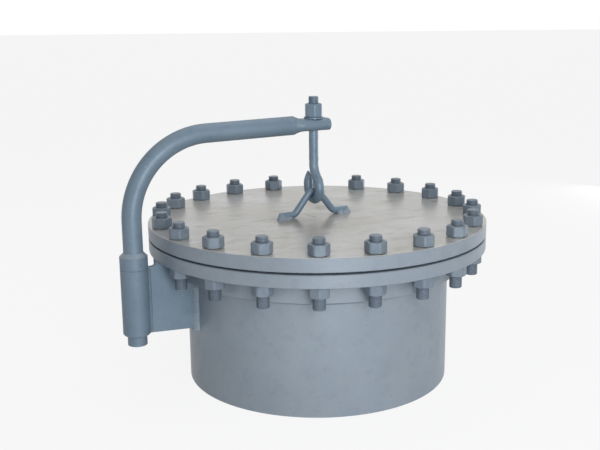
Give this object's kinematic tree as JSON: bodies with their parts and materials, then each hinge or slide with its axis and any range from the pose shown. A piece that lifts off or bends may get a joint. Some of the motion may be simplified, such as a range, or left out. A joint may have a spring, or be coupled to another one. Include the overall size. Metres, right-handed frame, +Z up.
{
  "type": "tank manway cover",
  "caption": "Round blind cover bolted to a flanged tank neck, with a bent-pipe davit whose threaded hook lifts the cover by a rod bail.",
  "frame": {"origin": "centre of the neck's open lower end", "axes": "+Z up along the neck's axis, -X towards the davit's mast, the shank of the hook bends towards -Y"},
  "size_m": [0.8632, 0.78, 0.6474],
  "materials": {
    "body_paint": "satin blue-grey enamel",
    "cover_paint": "satin grey enamel, lighter on the upper face",
    "davit_paint": "satin blue-grey enamel",
    "lifting_gear_paint": "satin blue-grey enamel",
    "fastener_paint": "satin blue-grey enamel",
    "gasket_rubber": "matt black sheet"
  },
  "bodies": {
    "neck_assembly": {"neck": "body_paint", "flange": "body_paint", "hub_weld": "body_paint", "bore_weld": "body_paint", "gasket": "gasket_rubber", "gusset": "davit_paint", "gusset_neck_weld": "davit_paint", "gusset_sleeve_weld": "davit_paint", "sleeve": "davit_paint", "lower_nuts": "fastener_paint", "stud_01": "fastener_paint", "stud_02": "fastener_paint", "stud_03": "fastener_paint", "stud_04": "fastener_paint", "stud_05": "fastener_paint", "stud_06": "fastener_paint", "stud_07": "fastener_paint", "stud_08": "fastener_paint", "stud_09": "fastener_paint", "stud_10": "fastener_paint", "stud_11": "fastener_paint", "stud_12": "fastener_paint", "stud_13": "fastener_paint", "stud_14": "fastener_paint", "stud_15": "fastener_paint", "stud_16": "fastener_paint", "stud_17": "fastener_paint", "stud_18": "fastener_paint", "stud_19": "fastener_paint", "stud_20": "fastener_paint"},
    "cover_assembly": {"cover": "cover_paint", "bail": "lifting_gear_paint", "bail_weld_left": "lifting_gear_paint", "bail_weld_right": "lifting_gear_paint"},
    "upper_nuts": {"upper_nut_01": "fastener_paint", "upper_nut_02": "fastener_paint", "upper_nut_03": "fastener_paint", "upper_nut_04": "fastener_paint", "upper_nut_05": "fastener_paint", "upper_nut_06": "fastener_paint", "upper_nut_07": "fastener_paint", "upper_nut_08": "fastener_paint", "upper_nut_09": "fastener_paint", "upper_nut_10": "fastener_paint", "upper_nut_11": "fastener_paint", "upper_nut_12": "fastener_paint", "upper_nut_13": "fastener_paint", "upper_nut_14": "fastener_paint", "upper_nut_15": "fastener_paint", "upper_nut_16": "fastener_paint", "upper_nut_17": "fastener_paint", "upper_nut_18": "fastener_paint", "upper_nut_19": "fastener_paint", "upper_nut_20": "fastener_paint"},
    "davit": {"davit_arm": "davit_paint", "collar": "davit_paint", "collar_weld": "davit_paint", "washer": "lifting_gear_paint"},
    "hook": {"hook": "lifting_gear_paint"},
    "lifting_nut": {"lifting_nut": "lifting_gear_paint"}
  },
  "joints": [
    {"name": "cover_lift", "type": "slide", "parent": "neck_assembly", "child": "cover_assembly", "axis": [0, 0, 1], "range_m": [0, 0.031]},
    {"name": "nuts_off", "type": "slide", "parent": "cover_assembly", "child": "upper_nuts", "axis": [0, 0, 1], "range_m": [0, 0.037]},
    {"name": "davit_swing", "type": "hinge", "parent": "neck_assembly", "child": "davit", "pos_m": [-0.443, 0, 0.3], "axis": [0, 0, 1], "range_deg": [-0.25, 0.25]},
    {"name": "hook_lift", "type": "slide", "parent": "davit", "child": "hook", "axis": [0, 0, 1], "range_m": [0, 0.031]},
    {"name": "lifting_nut_turn", "type": "hinge", "parent": "davit", "child": "lifting_nut", "pos_m": [-0.0065, 0, 0.62], "axis": [0, 0, 1], "range_deg": [-3721, 0]}
  ],
  "couplings": [
    {"joint": "hook_lift", "follows": "cover_lift", "ratio": 1},
    {"joint": "lifting_nut_turn", "follows": "cover_lift", "rad_per_m": -2094.4}
  ]
}
